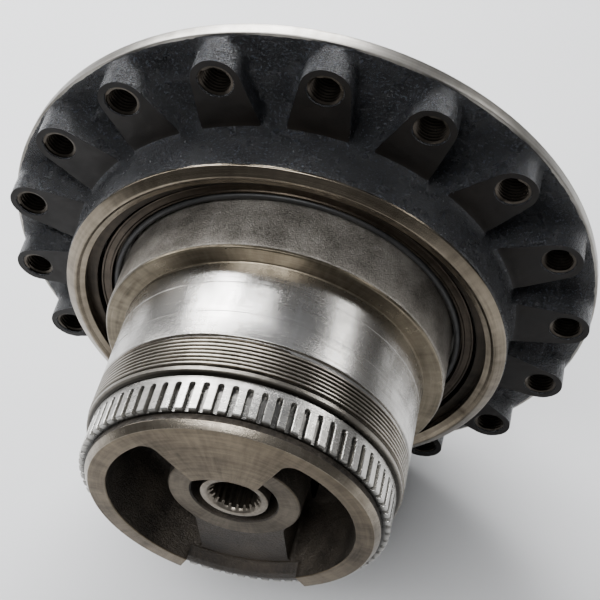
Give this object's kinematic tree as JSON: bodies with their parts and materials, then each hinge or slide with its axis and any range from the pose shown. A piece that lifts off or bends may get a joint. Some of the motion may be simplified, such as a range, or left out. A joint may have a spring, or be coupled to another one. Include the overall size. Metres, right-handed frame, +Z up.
{
  "type": "planetary gearbox",
  "caption": "Two-stage planetary wheel-drive gearbox: a fixed splined spindle carries a turning lugged hub with its ring gear and bolted rear cover.",
  "frame": {"origin": "centre of the rear cover's flat outer face, on the axis of rotation", "axes": "+Y out of the rear cover along the axis of rotation, the spindle's nose to -Y, +Z up through the nose's top lobe, +X to the right seen from the nose"},
  "size_m": [0.466, 0.342, 0.466],
  "materials": {
    "hub_paint": "satin-gloss black paint over rough casting",
    "spindle_iron": "oiled cast iron, machined on the land, thread, spline and nose",
    "carrier_iron": "plain casting with machined faces",
    "ring_gear_steel": "turned steel",
    "gear_steel": "ground gear steel",
    "machined_steel": "turned steel",
    "bearing_steel": "ground and polished",
    "bolt_steel": "black oxide",
    "bronze": "machined bronze",
    "seal_rubber": "moulded rubber"
  },
  "bodies": {
    "spindle": {"spindle": "spindle_iron", "second_carrier": "carrier_iron", "second_planet_pin_1": "bearing_steel", "second_planet_pin_2": "bearing_steel", "second_planet_pin_3": "bearing_steel", "bearing_nut": "machined_steel", "front_bearing_inner_race": "bearing_steel", "rear_bearing_inner_race": "bearing_steel", "seal_ring_fixed": "machined_steel", "seal_o_ring_fixed": "seal_rubber", "input_shaft_seal": "seal_rubber"},
    "hub": {"hub": "hub_paint", "ring_gear": "ring_gear_steel", "rear_cover": "hub_paint", "cover_bolt_1": "bolt_steel", "cover_bolt_2": "bolt_steel", "cover_bolt_3": "bolt_steel", "cover_bolt_4": "bolt_steel", "cover_bolt_5": "bolt_steel", "cover_bolt_6": "bolt_steel", "cover_bolt_7": "bolt_steel", "cover_bolt_8": "bolt_steel", "cover_bolt_9": "bolt_steel", "cover_bolt_10": "bolt_steel", "cover_bolt_11": "bolt_steel", "cover_bolt_12": "bolt_steel", "fill_plug": "bolt_steel", "drain_plug_left": "bolt_steel", "drain_plug_right": "bolt_steel", "front_bearing_outer_race": "bearing_steel", "rear_bearing_outer_race": "bearing_steel", "seal_ring_rotating": "machined_steel", "seal_o_ring_rotating": "seal_rubber", "thrust_pad": "bronze"},
    "front_rollers": {"front_bearing_rollers": "bronze"},
    "rear_rollers": {"rear_bearing_rollers": "bronze"},
    "first_carrier": {"first_carrier": "carrier_iron", "first_planet_pin_1": "bearing_steel", "first_planet_pin_2": "bearing_steel", "first_planet_pin_3": "bearing_steel", "second_sun": "gear_steel"},
    "second_planet_1": {"second_planet_1": "gear_steel", "second_planet_bush_1": "bronze"},
    "second_planet_2": {"second_planet_2": "gear_steel", "second_planet_bush_2": "bronze"},
    "second_planet_3": {"second_planet_3": "gear_steel", "second_planet_bush_3": "bronze"},
    "first_planet_1": {"first_planet_1": "gear_steel", "first_planet_bush_1": "bronze"},
    "first_planet_2": {"first_planet_2": "gear_steel", "first_planet_bush_2": "bronze"},
    "first_planet_3": {"first_planet_3": "gear_steel", "first_planet_bush_3": "bronze"},
    "input": {"input_shaft": "gear_steel", "input_coupling": "machined_steel"}
  },
  "joints": [
    {"name": "hub_spin", "type": "hinge", "parent": "spindle", "child": "hub", "pos_m": [0, 0, 0], "axis": [0, -1, 0], "continuous": true},
    {"name": "front_rollers_spin", "type": "hinge", "parent": "spindle", "child": "front_rollers", "pos_m": [0, 0, 0], "axis": [0, -1, 0], "continuous": true},
    {"name": "rear_rollers_spin", "type": "hinge", "parent": "spindle", "child": "rear_rollers", "pos_m": [0, 0, 0], "axis": [0, -1, 0], "continuous": true},
    {"name": "first_carrier_spin", "type": "hinge", "parent": "spindle", "child": "first_carrier", "pos_m": [0, 0, 0], "axis": [0, -1, 0], "continuous": true},
    {"name": "second_planet_1_spin", "type": "hinge", "parent": "spindle", "child": "second_planet_1", "pos_m": [0, 0, 0.078], "axis": [0, -1, 0], "continuous": true},
    {"name": "second_planet_2_spin", "type": "hinge", "parent": "spindle", "child": "second_planet_2", "pos_m": [-0.06755, 0, -0.039], "axis": [0, -1, 0], "continuous": true},
    {"name": "second_planet_3_spin", "type": "hinge", "parent": "spindle", "child": "second_planet_3", "pos_m": [0.06755, 0, -0.039], "axis": [0, -1, 0], "continuous": true},
    {"name": "first_planet_1_spin", "type": "hinge", "parent": "first_carrier", "child": "first_planet_1", "pos_m": [0, 0, 0.072], "axis": [0, -1, 0], "continuous": true},
    {"name": "first_planet_2_spin", "type": "hinge", "parent": "first_carrier", "child": "first_planet_2", "pos_m": [-0.06235, 0, -0.036], "axis": [0, -1, 0], "continuous": true},
    {"name": "first_planet_3_spin", "type": "hinge", "parent": "first_carrier", "child": "first_planet_3", "pos_m": [0.06235, 0, -0.036], "axis": [0, -1, 0], "continuous": true},
    {"name": "input_spin", "type": "hinge", "parent": "spindle", "child": "input", "pos_m": [0, 0, 0], "axis": [0, -1, 0], "continuous": true}
  ],
  "couplings": [
    {"joint": "front_rollers_spin", "follows": "hub_spin", "ratio": 0.52046},
    {"joint": "rear_rollers_spin", "follows": "hub_spin", "ratio": 0.52046},
    {"joint": "first_carrier_spin", "follows": "hub_spin", "ratio": -3.3333},
    {"joint": "second_planet_1_spin", "follows": "hub_spin", "ratio": 2.8571},
    {"joint": "second_planet_2_spin", "follows": "hub_spin", "ratio": 2.8571},
    {"joint": "second_planet_3_spin", "follows": "hub_spin", "ratio": 2.8571},
    {"joint": "first_planet_1_spin", "follows": "hub_spin", "ratio": 10.833},
    {"joint": "first_planet_2_spin", "follows": "hub_spin", "ratio": 10.833},
    {"joint": "first_planet_3_spin", "follows": "hub_spin", "ratio": 10.833},
    {"joint": "input_spin", "follows": "hub_spin", "ratio": -25}
  ]
}
